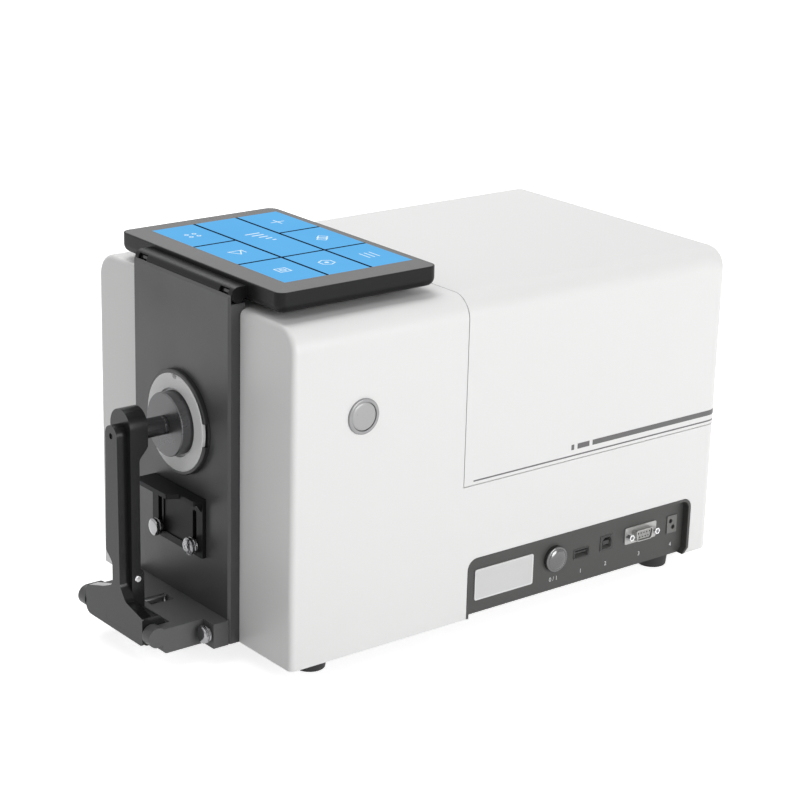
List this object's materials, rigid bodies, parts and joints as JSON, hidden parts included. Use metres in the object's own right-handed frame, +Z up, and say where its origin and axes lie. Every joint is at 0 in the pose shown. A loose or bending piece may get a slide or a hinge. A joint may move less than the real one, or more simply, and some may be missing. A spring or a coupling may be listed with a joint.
{
  "type": "benchtop spectrophotometer",
  "caption": "Benchtop spectrophotometer with front measuring port, hinged spring sample clamp, sliding sample rest, tilting touch display and side connectors.",
  "frame": {"origin": "middle of the whole footprint, on the surface that the feet stand on", "axes": "+X from the measuring port to the rear, +Z up, -Y the side with the button and the connectors"},
  "size_m": [0.442, 0.2316, 0.26],
  "materials": {
    "white_shell": "satin",
    "charcoal_metal": "satin powder coat",
    "dark_plastic": "fine texture",
    "ring_grey": "satin",
    "dark_anodised": "dark anodised",
    "bright_chrome": "polished",
    "silver": "brushed",
    "spring_steel": "plain",
    "black_rubber": "matt",
    "display_shell": "satin",
    "screen_glass": "glossy cover glass",
    "screen_module": "plain",
    "button_grey": "glossy",
    "label_white": "printed film",
    "cast_alloy": "as cast",
    "board_green": "solder mask",
    "inner_plastic": "plain"
  },
  "bodies": {
    "instrument": {"main_housing": "white_shell", "top_cover": "white_shell", "cover_screws": "silver", "base_plate": "charcoal_metal", "base_screws": "silver", "rubber_foot_1": "black_rubber", "rubber_foot_2": "black_rubber", "rubber_foot_3": "black_rubber", "rubber_foot_4": "black_rubber", "measuring_panel": "charcoal_metal", "aperture_collar": "dark_plastic", "shelf_bracket": "charcoal_metal", "clamp_hinge_pin": "silver", "clamp_spring": "spring_steel", "display_hinge_ears": "dark_anodised", "display_hinge_pins": "silver", "measure_button_ring": "silver", "measure_switch": "inner_plastic", "power_button_ring": "silver", "power_switch": "inner_plastic", "port_panel": "dark_plastic", "label_plate": "label_white", "usb_a_port": "silver", "usb_b_port": "silver", "serial_port": "silver", "serial_jackscrews": "silver", "dc_inlet": "inner_plastic", "io_board": "board_green", "optical_frame": "cast_alloy", "sphere_front_half": "cast_alloy", "sphere_rear_half": "cast_alloy", "sphere_saddle": "cast_alloy", "lamp_module": "cast_alloy", "spectrometer_module": "cast_alloy", "spectrometer_lid": "cast_alloy", "main_board": "board_green", "power_board": "board_green"},
    "arm": {"clamp_arm": "charcoal_metal", "plunger_bush": "dark_anodised", "plunger_spring": "spring_steel", "arm_end_screw": "dark_anodised", "lug_pin": "bright_chrome"},
    "plunger": {"plunger_shaft": "dark_anodised", "plunger_pad": "dark_anodised"},
    "display": {"display_frame": "display_shell", "display_glass": "screen_glass", "display_module": "screen_module", "display_bumpers": "black_rubber"},
    "measure_button": {"measure_button_cap": "button_grey"},
    "power_button": {"power_button_cap": "silver"},
    "rest": {"sample_rest": "charcoal_metal"},
    "ring": {"aperture_ring": "ring_grey"},
    "rest_screw_near": {"rest_screw_near": "bright_chrome"},
    "rest_screw_far": {"rest_screw_far": "bright_chrome"},
    "shelf_screw_near": {"shelf_screw_near": "bright_chrome"},
    "shelf_screw_far": {"shelf_screw_far": "bright_chrome"}
  },
  "joints": [
    {"name": "arm_hinge", "type": "hinge", "parent": "instrument", "child": "arm", "pos_m": [-0.21445, 0, 0.0263], "axis": [0, -1, 0], "range_deg": [0, 90], "stiffness_Nm_per_rad": 0.2, "springref_deg": -28.65},
    {"name": "plunger_slide", "type": "slide", "parent": "arm", "child": "plunger", "axis": [-1, 0, 0], "range_m": [0, 0.008], "stiffness_N_per_m": 400, "springref_m": -0.004, "deforming": ["plunger_spring"]},
    {"name": "display_tilt", "type": "hinge", "parent": "instrument", "child": "display", "pos_m": [-0.16055, 0, 0.2516], "axis": [0, -1, 0], "range_deg": [0, 75]},
    {"name": "measure_button_press", "type": "slide", "parent": "instrument", "child": "measure_button", "axis": [0, 1, 0], "range_m": [0, 0.0012], "stiffness_N_per_m": 800, "springref_m": -0.0005},
    {"name": "power_button_press", "type": "slide", "parent": "instrument", "child": "power_button", "axis": [0, 1, 0], "range_m": [0, 0.0012], "stiffness_N_per_m": 800, "springref_m": -0.0005},
    {"name": "rest_slide", "type": "slide", "parent": "instrument", "child": "rest", "axis": [0, 0, -1], "range_m": [0, 0.022]},
    {"name": "aperture_twist", "type": "hinge", "parent": "instrument", "child": "ring", "pos_m": [-0.16935, 0, 0.1532], "axis": [-1, 0, 0], "range_deg": [0, 25]},
    {"name": "rest_screw_near_turn", "type": "hinge", "parent": "instrument", "child": "rest_screw_near", "pos_m": [-0.17135, -0.021, 0.0735], "axis": [-1, 0, 0], "range_deg": [0, 360]},
    {"name": "rest_screw_far_turn", "type": "hinge", "parent": "instrument", "child": "rest_screw_far", "pos_m": [-0.17135, 0.021, 0.0735], "axis": [-1, 0, 0], "range_deg": [0, 360]},
    {"name": "shelf_screw_near_turn", "type": "hinge", "parent": "instrument", "child": "shelf_screw_near", "pos_m": [-0.17935, -0.0512, 0.0235], "axis": [-1, 0, 0], "range_deg": [0, 360]},
    {"name": "shelf_screw_far_turn", "type": "hinge", "parent": "instrument", "child": "shelf_screw_far", "pos_m": [-0.17935, 0.0512, 0.0235], "axis": [-1, 0, 0], "range_deg": [0, 360]}
  ]
}
